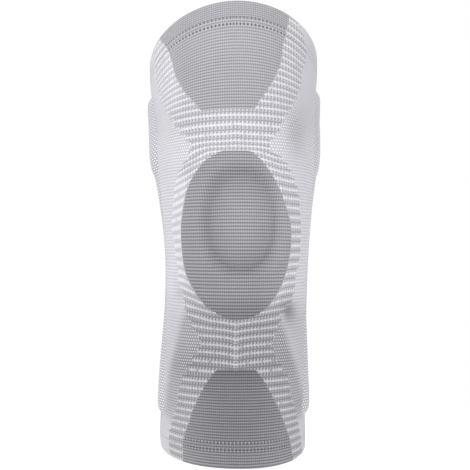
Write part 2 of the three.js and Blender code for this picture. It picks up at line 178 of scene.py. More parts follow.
@dataclass(frozen=True)
class LegForm:
    """The tube's smooth form, in the same sizes and sections as the solids."""

    thigh_rise: float = 119.5
    calf_drop: float = 144
    thigh_lean: float = 40
    calf_lean: float = 24.5
    knee_half_width: float = 48.6
    knee_front: float = 62
    knee_back: float = 56
    # rise, lean, width, front, back, shift, tilt, back tilt, roll, corner
    sections: Table = (
        (1, 1, 1.206, 1.03, 1.07, -0.022, 38, 33.5, 2.4, 1.93),
        (0.869, 0.775, 1.186, 1.02, 1.07, -0.019, 36.5, 31, 2.3, 1.96),
        (0.767, 0.587, 1.152, 1, 1.07, -0.014, 32, 27.5, 2, 2.02),
        (0.673, 0.425, 1.126, 0.976, 1.054, -0.004, 22, 22, 1.3, 2.1),
        (0.573, 0.275, 1.106, 0.968, 1.036, 0.006, 10.5, 16, 0.6, 2.15),
        (0.406, 0.125, 1.091, 0.976, 1.036, 0.012, 4.5, 10, 0, 2.15),
        (0.184, 0.037, 1.041, 1, 1.018, 0.02, 2, 5, 0, 2.15),
        (-0.035, 0, 1, 1, 1, 0.025, 0.5, 1.5, 0, 2.15),
        (-0.209, 0.061, 0.973, 0.968, 1.009, 0.02, -1, -1, 0, 2.15),
        (-0.403, 0.204, 0.965, 0.911, 1.027, 0.004, -2, -2.5, 0, 2.15),
        (-0.597, 0.388, 0.979, 0.879, 1.036, -0.008, -3, -4, 0, 2.15),
        (-0.771, 0.633, 1.006, 0.887, 1, -0.025, -5.5, -5.5, -0.5, 2.15),
        (-0.921, 0.878, 1.028, 0.903, 0.964, -0.035, -9, -7, -1, 2.18),
        (-1, 1, 1.024, 0.919, 0.946, -0.031, -12, -8.5, -1.4, 2.22),
    )

    def rows(self, place: Array) -> Array:
        """The row of sections at each place along the tube."""
        return smooth_rows(np.array(self.sections), np.asarray(place, float))

    def point(self, place: Array, turn: Array) -> Array:
        """Points of the smooth tube.

        Args:
            place: Place along the tube, 0 at the thigh rim and 1 at the calf rim.
            turn: Angle from the front, towards the viewer's right.

        Returns:
            The points in millimetres, with x, y and z in the last axis.
        """
        columns = np.moveaxis(self.rows(place), -1, 0)
        rise, lean, width, front, back, shift, tilt, back_tilt, roll, corner = columns
        sine, cosine = np.sin(turn), np.cos(turn)
        across = width * self.knee_half_width * bent(sine, 2 / corner)
        reach = np.where(cosine > 0, front * self.knee_front, back * self.knee_back)
        depth = reach * bent(cosine, 2 / corner)
        slant = np.radians(np.where(cosine > 0, tilt, back_tilt))
        lift = np.radians(roll)
        side_y = lean * np.where(rise > 0, self.thigh_lean, self.calf_lean)
        side_z = rise * np.where(rise > 0, self.thigh_rise, self.calf_drop)
        x = shift * self.knee_half_width + across * np.cos(lift)
        y = side_y - depth * np.cos(slant)
        z = side_z + depth * np.sin(slant) + across * np.sin(lift)
        return np.stack(np.broadcast_arrays(x, y, z), -1)

    def normal(self, place: Array, turn: Array) -> Array:
        """Outward directions of the smooth tube.

        Args:
            place: Place along the tube.
            turn: Angle from the front.

        Returns:
            Unit vectors in the last axis.
        """
        step = 0.004
        low, high = np.maximum(place - step, 0.0), np.minimum(place + step, 1.0)
        down = self.point(high, turn) - self.point(low, turn)
        out = np.cross(down, self.point(place, turn + step) - self.point(place, turn - step))
        return out / np.linalg.norm(out, axis=-1, keepdims=True)


@dataclass(frozen=True)
class FrontView:
    """The upright plane through the knee onto which the chart of the front is drawn."""

    distance: float = 1400
    mm_per_pixel: float = 0.68
    frame_pixels: float = 470

    def onto(self, point: Array) -> tuple[Array, Array]:
        """How far across and up each point is drawn."""
        share = self.distance / (point[..., 1] + self.distance)
        return point[..., 0] * share, point[..., 2] * share


@dataclass(frozen=True)
class Courses:
    """The rows of knit: where each one lies on the tube and how far apart they are."""

    form: LegForm
    view: FrontView
    # height on the front, distance from one rib to the next
    pitch: Table = (
        (160, 2.08), (60, 2.08), (45, 2.1), (22, 2.26), (-36, 2.34), (-62, 2.12),
        (-90, 1.97), (-160, 1.96),
    )
    samples: int = 2000

    def tables(self) -> tuple[Array, Array, Array]:
        """Place, height on the front and course number, all down the front.

        Returns:
            Three lists of the same length, from the thigh rim to the calf rim.
        """
        place = np.linspace(0.0, 1.0, self.samples)
        _, height = self.view.onto(self.form.point(place, np.zeros_like(place)))
        pitch = along(self.pitch, height)
        return place, height, running(-np.diff(height) / (0.5 * (pitch[1:] + pitch[:-1])))

    def total(self) -> float:
        """How many courses there are from rim to rim."""
        return float(self.tables()[2][-1])

    def place(self, course: Array) -> Array:
        """The place on the tube of a course number."""
        place, _, number = self.tables()
        return np.interp(course, number, place)

    def height(self, course: Array) -> Array:
        """The height at which a course crosses the front's middle."""
        _, height, number = self.tables()
        return np.interp(course, number, height)


@dataclass(frozen=True)
class KneeRelief:
    """What shapes the front: pad ring, kneecap, groove under it, dents and soft ridges."""

    pad_half: Pair = (35.7, 56.4)
    pad_middle: Pair = (0.7, 0)
    pad_roundness: float = 2.3
    hole_half: Pair = (23, 33)
    hole_middle: Pair = (3.5, 9.5)
    ring_rise: float = 2.8
    ring_slope_in: Pair = (0.92, 1.2)
    ring_slope_out: Pair = (0.9, 1.08)
    cap_rise: float = 3.6
    cap_half: Pair = (21, 31)
    cap_middle: Pair = (4.4, 7.5)
    cap_fullness: float = 0.8
    groove_depth: float = 1.2
    groove_half_width: float = 11
    groove_ends: Pair = (-92, -60)
    groove_fade: float = 10.5
    wall: float = 2.2
    front_fade: Pair = (0.1, 0.4)
    # across and up as shares of the pad's half sizes, half width, half height, depth as a share of the wall
    dents: Table = ((1.03, -0.93, 0.15, 0.16, 1), (-1.07, -0.7, 0.13, 0.16, 0.5))
    # from across, from up, to across, to up, width, rise as a share of the wall
    ridges: Table = ((-0.83, -1.03, -1.35, -2.05, 0.16, 0.45), (0.83, -1.03, 1.35, -2.05, 0.16, 0.45))

    def oval(self, x: Array, z: Array, middle: Pair, half: Pair) -> Array:
        """How far a point is from an oval's middle, as a share of the way to its edge."""
        sides = ((x - middle[0]) / half[0], (z - middle[1]) / half[1])
        return sum(np.abs(side) ** self.pad_roundness for side in sides) ** (1 / self.pad_roundness)

    def height(self, point: Array, turn: Array) -> Array:
        """Height of the knit above the smooth tube.

        Args:
            point: Points of the smooth tube.
            turn: Their angles from the front.

        Returns:
            The height in millimetres, positive outwards.
        """
        x, z = point[..., 0], point[..., 2]
        ring = ease(*self.ring_slope_in, self.oval(x, z, self.hole_middle, self.hole_half))
        ring = ring * (1 - ease(*self.ring_slope_out, self.oval(x, z, self.pad_middle, self.pad_half)))
        cap_x = (x - self.cap_middle[0]) / self.cap_half[0]
        cap_z = (z - self.cap_middle[1]) / self.cap_half[1]
        dome = np.maximum(1 - cap_x**2 - cap_z**2, 0.0) ** self.cap_fullness
        out = self.ring_rise * ring + self.cap_rise * dome - self.groove(x, z) + self.soft_forms(x, z)
        return out * ease(*self.front_fade, np.cos(turn))

    def groove(self, x: Array, z: Array) -> Array:
        """Depth of the groove between the pad and the shin.

        Args:
            x: Places across.
            z: Heights.

        Returns:
            The depth in millimetres.
        """
        low, top = (ease(end - self.groove_fade, end + self.groove_fade, z) for end in self.groove_ends)
        across = np.exp(-(((x - self.pad_middle[0]) / self.groove_half_width) ** 2))
        return self.groove_depth * across * (1 - top) * low

    def soft_forms(self, x: Array, z: Array) -> Array:
        """Height of the dents beside the pad's lower ends and of the ridges beside the shin.

        Args:
            x: Places across.
            z: Heights.

        Returns:
            The height of the knit there, below 0 in the dents.
        """
        px, pz = (x - self.pad_middle[0]) / self.pad_half[0], (z - self.pad_middle[1]) / self.pad_half[1]
        height = np.zeros_like(x)
        for across, up, half_width, half_height, share in self.dents:
            height -= share * self.wall * spot(px, pz, (across, up), (half_width, half_height))
        for x0, z0, x1, z1, width, rise in self.ridges:
            run_x, run_z = x1 - x0, z1 - z0
            share = np.clip(((px - x0) * run_x + (pz - z0) * run_z) / (run_x**2 + run_z**2), 0.0, 1.0)
            off = np.hypot(px - x0 - run_x * share, pz - z0 - run_z * share)
            height += rise * self.wall * np.exp(-((off / width) ** 2)) * np.sin(math.pi * share)
        return height


@dataclass(frozen=True)
class KnitChart:
    """Where each kind of knit lies on the front. Tables start with the height, in millimetres."""

    courses: Courses
    # height, left border, right border of the smooth grey panels
    thigh_panel: Table = (
        (160, -66, 38.5), (146.5, -60, 36.7), (134, -52.4, 33.9), (128.5, -47.1, 32.6),
        (122.4, -44.4, 31.8), (116.3, -42.4, 31), (109, -40.8, 28.2), (105, -39.4, 26.2),
        (103.6, -37.8, 25.4), (97.4, -34.7, 21.4), (91.1, -28.8, 16.9), (85, -23.5, 13),
    )
    knee_panel: Table = (
        (57, -9, 9.6), (55, -12, 12.2), (50.6, -19, 16.6), (44.5, -24.1, 21.2),
        (36.7, -28.9, 25.9), (28.9, -31.8, 29.4), (22.8, -32.9, 31.4), (15.9, -34.1, 33.6),
        (7.2, -35.3, 36.2), (-1.4, -35.2, 37), (-9.2, -34.5, 36.2), (-18.8, -33.3, 34.4),
        (-25.8, -32, 32.8), (-32.6, -28.9, 30.6), (-41.3, -24.1, 26.3), (-48.3, -18.5, 21.4),
        (-53.5, -11.2, 15.4), (-57, -6, 9.5),
    )
    shin_panel: Table = (
        (-91, -12.2, 13.4), (-100.6, -19.4, 20.4), (-111.9, -25.4, 26.5), (-119.7, -28.9, 30.3),
        (-128.3, -31.5, 33.5), (-135.3, -34.1, 36), (-140.5, -35.6, 37.4), (-160, -35.2, 41),
    )
    # heights between which each panel lies, 400 where it runs on past the rim
    panel_ends: Table = ((85.7, 400), (-56.6, 56.8), (-400, -91.6))
    # height, outer border of the white lines
    lines_left: Table = (
        (160, -61), (140, -56), (125.8, -54.4), (112.2, -54.4), (102, -53.4), (93.8, -51),
        (87.7, -48.3), (80.2, -43.9), (71.7, -37.4), (66.6, -33.6), (60.9, -30.3), (54.1, -31.3),
        (48.3, -34.7), (39.4, -40.1), (27.2, -41.5), (14.3, -42.4), (7.5, -43.5), (-3.4, -41.2),
        (-14.3, -40.4), (-23.8, -38.4), (-33.3, -39.1), (-42.2, -35.4), (-55.8, -33), (-62.6, -28.6),
        (-68.7, -24.5), (-74.8, -23.1), (-81.3, -26.5), (-87.7, -30.6), (-93.5, -33.6), (-99.3, -36),
        (-105.4, -38.1), (-116.3, -38.8), (-125.8, -42.5), (-135.3, -45), (-146.9, -44.6),
        (-160, -42),
    )
    lines_right: Table = (
        (160, 36), (146.9, 38.4), (142.1, 42.6), (136, 46.2), (128.5, 48.1), (117.6, 48.1),
        (112.9, 45.8), (102.7, 44.9), (93.4, 41.8), (89.8, 39.4), (85, 37.2), (79.6, 33.3),
        (74.1, 31.7), (68.7, 28.6), (63, 23.1), (59.8, 22), (57.8, 25), (54.4, 31),
        (48.3, 35.1), (37.7, 40), (26.5, 43.5), (11.6, 44.5), (-0.7, 44.9), (-17, 44),
        (-27.6, 41.2), (-41.5, 40), (-45.9, 38.1), (-52.7, 33.3), (-57.1, 29.9), (-62.9, 29.2),
        (-69.7, 25.8), (-75.8, 24.2), (-82.3, 26.8), (-88.4, 30.2), (-94.5, 34.7), (-100.3, 36.6),
        (-110.8, 38.1), (-121, 41.5), (-130.6, 43.5), (-146.2, 45.6), (-160, 45),
    )
    # height, outer border of the open net
    net_left: Table = (
        (103, -52), (100, -53), (88.4, -50.3), (79.6, -49), (71.4, -46.9), (61.2, -44.9),
        (51, -42.2), (41, -38), (20, -30), (-30, -30), (-47.6, -34), (-57.8, -37),
        (-68.7, -39), (-74.8, -40.5), (-81, -42), (-87.7, -43.5), (-99.3, -45.5), (-110.8, -47.6),
        (-121, -48.6), (-127.2, -44), (-140, -38),
    )
    net_right: Table = (
        (99, 42), (91.8, 44.2), (81.6, 44.9), (71.4, 44.2), (64.6, 42.2), (57.8, 37.4),
        (52, 32), (40, 28), (-46, 30), (-56.4, 31.3), (-62.6, 33.3), (-69.4, 35.4),
        (-75.5, 36.7), (-82.3, 38.8), (-88.4, 40.8), (-100, 44.2), (-110.8, 47.6), (-117.6, 49),
        (-123, 46), (-127.2, 42), (-140, 38),
    )
    # height where a white line crosses the middle (or leaves a panel), number of the line
    line_numbers: Table = (
        (160, -15.8), (81.7, 0), (75.5, 1), (69.2, 2), (64.2, 3), (60.4, 4), (56.6, 5),
        (52, 6), (-53, 22), (-61, 23), (-66.4, 24), (-71.7, 25), (-77.6, 26),
        (-83, 27), (-88.7, 28), (-93.8, 29), (-100, 30), (-105.4, 31), (-110.8, 32),
        (-115.9, 33), (-121, 34), (-125.8, 35), (-130.6, 36), (-135.7, 37), (-141.4, 38),
        (-146.9, 39), (-160, 41.4),
    )
    # height, fall of a line for each millimetre further out beside the knee panel, left and right
    feather: Table = (
        (75, 0, 0), (64, 0.05, 0.03), (60, 0.16, 0.12), (54, 0.36, 0.26), (49, 0.55, 0.28),
        (43, 0.7, 0.2), (36.7, 0.7, 0.12), (24, 0.55, 0.02),
        (7, 0.3, 0), (-7, 0.08, 0), (-18, -0.08, 0), (-33, -0.3, -0.08),
        (-44, -0.36, -0.16), (-55, -0.2, -0.12), (-66, 0, 0),
    )
    # height, how far the middle of a line hangs below its sides, how far out that reaches
    dip: Table = (
        (78, 0, 8), (75, -0.7, 7), (66, -1, 7), (58, 0, 8), (-50, 0, 24),
        (-55, 4.2, 22), (-62, 3.6, 15), (-70, 3.2, 9), (-82, 3.4, 9), (-89, 2, 9),
        (-96, 0, 9),
    )
    spine_across: float = 0.3
    # height, strength of the looped seam down the middle
    spine: Table = ((-58, 0), (-64, 0.6), (-88, 0.6), (-94, 0))
    # height, paleness of the grey panels: partly from worn stretch, partly painted light, the thigh lit from
    # above and painted shade in the hollow above the kneecap, low on the knee and on the shin
    paleness: Table = (
        (150, 1), (110, 0.91), (85, 0.88), (56, 0.46), (50, 0.45), (44, 0.41), (25, 0.46),
        (-10, 0.38), (-24, 0.34), (-40, 0.32), (-50, 0.11), (-56, 0.08), (-92, 0.16),
        (-110, 0.24), (-140, 0.27), (-146, 0.32), (-160, 0.36),
    )
    # paleness for each millimetre of relief above relief_middle: painted light on the raised pad ring and
    # kneecap, painted shade where the knit lies lower
    relief_light: float = 0.07
    relief_middle: float = 1.6
    # paleness added at the sides of the shin panel, and where its sides are
    shin_paleness: float = 0.17
    shin_half_width: float = 32
    # paleness added towards the right side of the knee panel
    knee_paleness: float = 0.13
    # height, brightness of the white lines, net and pale knit
    shade: Table = (
        (150, 1.05), (90, 0.98), (70, 0.94), (40, 0.96), (-36, 0.92), (-56, 0.57),
        (-88, 0.47), (-104, 0.56), (-122, 0.63), (-160, 0.72),
    )
    # across, up, half width, half height and strength of the painted shade in hollows of the knit, beside the
    # pad and elsewhere
    hollow_shades: Table = (
        (37.6, -51.5, 4.2, 6.4, 0.58), (-37.6, -39.5, 4, 6, 0.15), (44, -64, 9, 16, 0.1),
        (41, 70, 7, 18, 0.24), (43.5, -113.5, 6, 7, 0.12), (-42, -113.5, 6, 7, 0.07),
    )
    # brightness of the thigh, which leans away from the light, and the heights where it starts
    thigh_light: float = 0.93
    thigh_lean: Pair = (50, 90)
    thigh_left_light: float = 0.06
    # where the shin's sides, the knee panel's right side and the looped seam start and end
    shin_top: Pair = (-104, -92)
    knee_right: Pair = (12, 32)
    knee_reach: float = 60
    spine_edge: Pair = (0.7, 2)
    front_edge: Pair = (0, 0.3)
    # where the ticks fade beside the knee panel on the left, and on the left of the thigh
    beside_across: Pair = (-36, -30)
    beside_top: Pair = (34, 46)
    beside_low: Pair = (-44, -30)
    thigh_left_across: Pair = (-42, -34)
    thigh_left_up: Pair = (74, 92)
    # how far a line's fall goes on outside the knee panel, left and right, and the heights where it is read
    fall_reach: Pair = (16, 14)
    fall_heights: Pair = (-50, 52)
    dip_across: float = 0.7
    back_distance: float = 80

    def fields(self, point: Array, turn: Array, course: Array, relief: Array) -> Fields:
        """The chart's values at points of the tube.

        Args:
            point: Points of the smooth tube in millimetres.
            turn: Their angles from the front.
            course: Their course numbers.
            relief: Height of the knit above the smooth tube there.

        Returns:
            Named fields: signed distances in millimetres to the borders of panel, lines and net, positive
            inside, the number of the white line, and the weights of paleness, light, ticks and spine.
        """
        across, up = self.courses.view.onto(point)
        row_up = up + (course - np.floor(course) - 0.5) * along(self.courses.pitch, up)
        middle_up = self.courses.height(course)
        number = along(self.line_numbers, middle_up + self.line_fall(across, up))
        line_up = up + (number - np.round(number)) * self.line_pitch(middle_up)
        back = np.where(np.cos(turn) > 0, 0.0, -self.back_distance)
        panel = self.panel_distance(across, row_up, middle_up) + back
        beside = (1 - ease(*self.beside_across, across)) * (1 - ease(*self.beside_top, up))
        beside = beside * ease(*self.beside_low, up)
        thigh_left = (1 - ease(*self.thigh_left_across, across)) * ease(*self.thigh_left_up, up)
        pale = along(self.paleness, up) + self.relief_light * (relief - self.relief_middle) * (panel > 0)
        shin = (1 - ease(*self.shin_top, up)) * np.minimum(across / self.shin_half_width, 1.0) ** 2
        knee_right = ease(*self.knee_right, across) * (np.abs(up) < self.knee_reach)
        pale = pale + self.shin_paleness * shin + self.knee_paleness * knee_right
        spine = 1 - ease(*self.spine_edge, np.abs(across - self.spine_across))
        return {
            "panel": panel,
            "lines": inside(across, along(self.lines_left, line_up), along(self.lines_right, line_up)) + back,
            "net": inside(across, along(self.net_left, row_up), along(self.net_right, row_up)) + back,
            "number": number,
            "pale": np.clip(pale, 0.0, 1.0),
            "shade": along(self.shade, up),
            "light": self.light(across, up, turn) * (1 + self.thigh_left_light * thigh_left),
            "ticks": 1 - np.maximum(beside, 0.5 * thigh_left),
            "spine": spine * along(self.spine, up) * (back == 0),
        }

    def light(self, across: Array, up: Array, turn: Array) -> Array:
        """Painted light: the thigh darker as it leans away from the light, and painted shade in the hollows
        beside the pad.

        Args:
            across: Places across the front.
            up: Heights on the front.
            turn: Angles from the front.

        Returns:
            The brightness, 1 on the plain front.
        """
        light = 1 - (1 - self.thigh_light) * ease(*self.thigh_lean, up)
        front = ease(*self.front_edge, np.cos(turn))
        for x, z, half_width, half_height, shade_strength in self.hollow_shades:
            light = light * (1 - shade_strength * front * spot(across, up, (x, z), (half_width, half_height)))
        return light

    def line_pitch(self, height: Array) -> Array:
        """Distance from one white line to the next.

        Args:
            height: Heights at which courses cross the front's middle.

        Returns:
            The distance in millimetres.
        """
        half, least = 2.0, 0.2
        step = along(self.line_numbers, height - half) - along(self.line_numbers, height + half)
        return 2 * half / np.maximum(step, least)

    def line_fall(self, across: Array, up: Array) -> Array:
        """How far a white line hangs below its course, beside the knee panel and in the middle.

        Args:
            across: Places across the front.
            up: Heights on the front.

        Returns:
            The fall in millimetres.
        """
        edge_up = np.clip(up, *self.fall_heights)
        out_left = np.clip(along(self.knee_panel, edge_up) - across, 0.0, self.fall_reach[0])
        out_right = np.clip(across - along(self.knee_panel, edge_up, 2), 0.0, self.fall_reach[1])
        fall = out_left * along(self.feather, up) + out_right * along(self.feather, up, 2)
        share = np.exp(-np.abs(across - self.dip_across) / along(self.dip, up, 2))
        return fall - along(self.dip, up) * (1 - share)

    def panel_distance(self, across: Array, row_up: Array, middle_up: Array) -> Array:
        """Signed distance to the nearest grey panel.

        Args:
            across: Places across the front.
            row_up: Heights of the courses there.
            middle_up: Heights at which the courses cross the front's middle.

        Returns:
            The distance, positive inside a panel.
        """
        distances = []
        for panel, ends in zip((self.thigh_panel, self.knee_panel, self.shin_panel), self.panel_ends):
            sides = inside(across, along(panel, row_up), along(panel, row_up, 2))
            distances.append(np.minimum(sides, inside(middle_up, *ends)))
        return np.max(distances, axis=0)


@dataclass
class GridMesh:
    """A closed mesh of loops of points, with fields for the finishes and a flat map for baking."""

    name: str
    loops: Array
    fields: Fields = field(default_factory=dict)
    stitches: Array | None = None
    wrap: float = 0.0
    capped: bool = False

    def build(self) -> Object:
        """Makes the object.

        Returns:
            The new object in metres, smooth shaded and linked to the scene.
        """
        rows, columns = self.loops.shape[:2]
        points = self.loops.reshape(-1, 3) * MM
        r, c = np.meshgrid(np.arange(rows - self.capped), np.arange(columns), indexing="ij")
        r2, c2 = (r + 1) % rows, (c + 1) % columns
        quads = np.stack([r * columns + c, r2 * columns + c, r2 * columns + c2, r * columns + c2], -1)
        mesh = bpy.data.meshes.new(self.name)
        mesh.from_pydata(points, [], quads.reshape(-1, 4), shade_flat=False)
        self.add_maps(mesh, np.stack([r, r + 1, r + 1, r], -1), np.stack([c, c, c + 1, c + 1], -1))
        for key, values in self.fields.items():
            layer = mesh.attributes.new(key, "FLOAT", "POINT")
            layer.data.foreach_set("value", values.astype(np.float32).ravel())
        mesh.validate()
        if self.capped:
            self.close_ends(mesh)
        return stand(self.name, mesh)

    def add_maps(self, mesh: Mesh, corner_row: Array, corner_column: Array) -> None:
        """Adds the stitch map, in wales and courses, and the flat map.

        Args:
            mesh: The mesh to add them to.
            corner_row: Row of each face corner, one past the last where a face closes the tube.
            corner_column: Column of each face corner, in the same way.
        """
        down = np.linalg.norm(np.diff(self.loops, axis=0, append=self.loops[:1]), axis=-1).mean(1)
        over = np.linalg.norm(np.diff(self.loops, axis=1, append=self.loops[:, :1]), axis=-1).mean(0)
        v, u = running(down), running(over)
        maps = {}
        if self.stitches is not None:
            wide = np.concatenate([self.stitches, self.stitches[:, :1] + np.array([self.wrap, 0.0])], 1)
            maps["stitches"] = np.concatenate([wide, wide[:1]], 0)[corner_row, corner_column]
        flat = np.stack([u[corner_column], v[corner_row]], -1) / max(u[-1], v[-1])
        margin = 0.01
        maps["OFBake"] = margin + (1 - 2 * margin) * flat
        for key, corners in maps.items():
            layer = mesh.uv_layers.new(name=key)
            layer.data.foreach_set("uv", corners.astype(np.float32).ravel())

    def close_ends(self, mesh: Mesh) -> None:
        """Closes the two ends of a bar with one face each.

        Args:
            mesh: The bar's mesh.
        """
        work = bmesh.new()
        work.from_mesh(mesh)
        bmesh.ops.holes_fill(work, edges=[edge for edge in work.edges if edge.is_boundary])
        bmesh.ops.recalc_face_normals(work, faces=work.faces)
        work.to_mesh(mesh)
        work.free()


def operator(name: str) -> Callable[..., Signal]:
    """An operator of Signal that adds the Math node of this name."""
    return lambda *signals: signals[0].nodes.math(name, *signals)


class Signal:
    """A number carried by a material's nodes, with plain arithmetic."""

    def __init__(self, nodes: Nodes, socket: bpy.types.NodeSocket) -> None:
        """Holds the socket that the number comes out of, and its nodes."""
        self.nodes = nodes
        self.socket = socket

    def __rsub__(self, other: float) -> Signal:
        """Takes this away from other."""
        return self.nodes.math("SUBTRACT", other, self)

    __add__ = operator("ADD")
    __sub__ = operator("SUBTRACT")
    __mul__ = operator("MULTIPLY")
    __truediv__ = operator("DIVIDE")
    __abs__ = operator("ABSOLUTE")


class Nodes:
    """Short hand for building a material's nodes."""

    def __init__(self, name: str) -> None:
        """Starts an empty material.

        Args:
            name: Its name.
        """
        self.material = bpy.data.materials.new(name)
        self.material.use_nodes = True
        self.tree = self.material.node_tree
        self.tree.nodes.clear()

    def add(self, kind: str, inputs: dict, output: int | str = 0, **settings: str) -> Signal:
        """Adds a node.

        Args:
            kind: The node's type without its ShaderNode prefix.
            inputs: A signal or a plain value for each input to set.
            output: The output to use.
            **settings: The node's own properties.

        Returns:
            What comes out of the output.
        """
        node = self.tree.nodes.new("ShaderNode" + kind)
        for key, value in settings.items():
            setattr(node, key, value)
        for key, value in inputs.items():
            if isinstance(value, Signal):
                self.tree.links.new(value.socket, node.inputs[key])
            else:
                node.inputs[key].default_value = value
        return Signal(self, node.outputs[output])

    def math(self, operation: str, *values: Signal | float) -> Signal:
        """The result of a Math node."""
        return self.add("Math", dict(enumerate(values)), operation=operation)

    def field(self, name: str) -> Signal:
        """The value of a mesh's field."""
        return self.add("Attribute", {}, "Fac", attribute_name=name)

    def step(self, value: Signal, low: float, high: float) -> Signal:
        """Smooth step from 0 at low to 1 at high."""
        inputs = {"Value": value, "From Min": low, "From Max": high}
        return self.add("MapRange", inputs, interpolation_type="SMOOTHSTEP")

    def mix(self, share: Signal, first: Signal | float, second: Signal | float) -> Signal:
        """Mixes two numbers."""
        return self.add("Mix", {0: share, 2: first, 3: second}, data_type="FLOAT")

    def wave(self, value: Signal, cycles: float = 1.0, shift: float = 0.0) -> Signal:
        """A wave from 0 to 1 that is 1 where value times cycles plus shift is whole."""
        angle = self.math("MULTIPLY_ADD", value, FULL_TURN * cycles, FULL_TURN * shift)
        return self.math("MULTIPLY_ADD", self.math("COSINE", angle), 0.5, 0.5)

    def noise(self, scale: float, detail: float = 2.0) -> Signal:
        """Noise that lies in the object."""
        inputs = {"Vector": self.add("TexCoord", {}, "Object"), "Scale": scale, "Detail": detail}
        return self.add("TexNoise", inputs, noise_dimensions="3D")

    def surface(self, tone: Signal, tint: tuple[float, ...], bump: dict, looks: dict) -> Material:
        """Turns a tone and a height into the finished material.

        Args:
            tone: Brightness of the surface.
            tint: Its colour where the brightness is 1.
            bump: Inputs of the bump.
            looks: Other inputs of the shader.

        Returns:
            The material.
        """
        colour = self.add("CombineColor", {i: tone * share for i, share in enumerate(tint)})
        looks = {"Base Color": colour, "Normal": self.add("Bump", bump), **looks}
        return self.finish(self.add("BsdfPrincipled", looks))

    def finish(self, shader: Signal) -> Material:
        """Links a shader to the output.

        Args:
            shader: What comes out of the shader.

        Returns:
            The material.
        """
        out = self.tree.nodes.new("ShaderNodeOutputMaterial")
        self.tree.links.new(shader.socket, out.inputs["Surface"])
        return self.material


class KnitNodes(Nodes):
    """Nodes of a knit material, with what every kind of knit reads from the mesh."""

    def __init__(self, name: str, course_rate: float) -> None:
        """Reads the stitch map and the shade.

        Args:
            name: The material's name.
            course_rate: Ribs for each course.
        """
        super().__init__(name)
        stitches = self.add("UVMap", {}, uv_map="stitches")
        self.wale, self.course = (self.add("SeparateXYZ", {0: stitches}, axis) for axis in (0, 1))
        self.rib = self.course * course_rate
        self.stitch = self.wave(self.wale)
        self.shade = self.field("shade")


